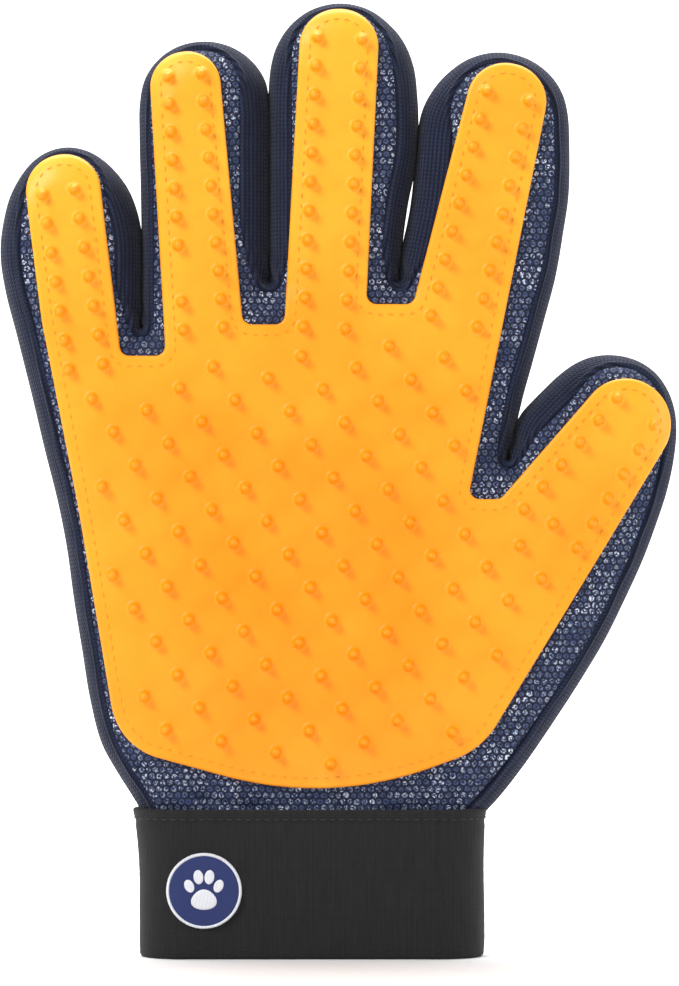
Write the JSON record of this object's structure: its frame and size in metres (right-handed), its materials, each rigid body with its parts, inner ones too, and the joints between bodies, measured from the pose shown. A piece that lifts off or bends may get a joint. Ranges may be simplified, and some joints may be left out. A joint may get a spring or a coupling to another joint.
{
  "type": "pet grooming glove",
  "caption": "Five-finger mesh and knit glove with a nubbed rubber palm pad that combs loose hair from a pet, and an elastic hook-and-loop cuff.",
  "frame": {"origin": "centre of the cuff's bottom opening, in the plane of the cuff's bottom edge", "axes": "+Z from the cuff's bottom edge towards the fingertips, -Y out of the padded palm side, +Y out of the back of the hand, +X towards the thumb"},
  "size_m": [0.1654, 0.0289, 0.2348],
  "materials": {
    "rubber_pad": "satin orange silicone rubber",
    "mesh_fabric": "navy spacer mesh with pale blue cells",
    "knit_fabric": "dark navy ribbed knit",
    "elastic": "black ribbed woven elastic",
    "pad_thread": "orange sewing thread",
    "cuff_thread": "dark navy sewing thread",
    "badge": "navy woven badge with a pale border",
    "strap_web": "black nylon webbing",
    "loop_tape": "black fuzzy loop tape",
    "hook_tape": "black moulded hook tape"
  },
  "bodies": {
    "hand": {"cuff_band": "elastic", "cuff_stitching": "cuff_thread", "badge": "badge", "strap_anchor": "strap_web", "loop_patch": "loop_tape", "palm_front_panel": "mesh_fabric", "palm_back_panel": "mesh_fabric", "little_side_gusset": "knit_fabric", "finger_web_gusset": "knit_fabric", "thumb_web_gusset": "knit_fabric", "thumb_side_gusset": "knit_fabric", "palm_pad": "rubber_pad", "palm_pad_stitching": "pad_thread"},
    "little": {"little_front_panel": "mesh_fabric", "little_back_panel": "mesh_fabric", "little_gusset": "knit_fabric", "little_pad": "rubber_pad", "little_pad_stitching": "pad_thread"},
    "ring": {"ring_front_panel": "mesh_fabric", "ring_back_panel": "mesh_fabric", "ring_gusset": "knit_fabric", "ring_pad": "rubber_pad", "ring_pad_stitching": "pad_thread"},
    "middle": {"middle_front_panel": "mesh_fabric", "middle_back_panel": "mesh_fabric", "middle_gusset": "knit_fabric", "middle_pad": "rubber_pad", "middle_pad_stitching": "pad_thread"},
    "index": {"index_front_panel": "mesh_fabric", "index_back_panel": "mesh_fabric", "index_gusset": "knit_fabric", "index_pad": "rubber_pad", "index_pad_stitching": "pad_thread"},
    "thumb": {"thumb_front_panel": "mesh_fabric", "thumb_back_panel": "mesh_fabric", "thumb_gusset": "knit_fabric", "thumb_pad": "rubber_pad", "thumb_pad_stitching": "pad_thread"},
    "closure": {"closure_strap": "strap_web", "hook_patch": "hook_tape"}
  },
  "joints": [
    {"name": "little_flex", "type": "hinge", "parent": "hand", "child": "little", "pos_m": [-0.0568, -0.0115, 0.1565], "axis": [1, 0, 0], "range_deg": [0, 70], "stiffness_Nm_per_rad": 0.03},
    {"name": "ring_flex", "type": "hinge", "parent": "hand", "child": "ring", "pos_m": [-0.0262, -0.0115, 0.1665], "axis": [1, 0, 0], "range_deg": [0, 70], "stiffness_Nm_per_rad": 0.03},
    {"name": "middle_flex", "type": "hinge", "parent": "hand", "child": "middle", "pos_m": [0.0056, -0.0115, 0.1665], "axis": [1, 0, 0], "range_deg": [0, 70], "stiffness_Nm_per_rad": 0.03},
    {"name": "index_flex", "type": "hinge", "parent": "hand", "child": "index", "pos_m": [0.0407, -0.0115, 0.1665], "axis": [1, 0, 0], "range_deg": [0, 70], "stiffness_Nm_per_rad": 0.03},
    {"name": "thumb_flex", "type": "hinge", "parent": "hand", "child": "thumb", "pos_m": [0.0597, -0.0115, 0.1099], "axis": [0.7145, 0, -0.6997], "range_deg": [0, 60], "stiffness_Nm_per_rad": 0.03},
    {"name": "strap_peel", "type": "hinge", "parent": "hand", "child": "closure", "pos_m": [-0.02095, 0.0149, 0.01825], "axis": [0, 0, 1], "range_deg": [0, 160]}
  ]
}
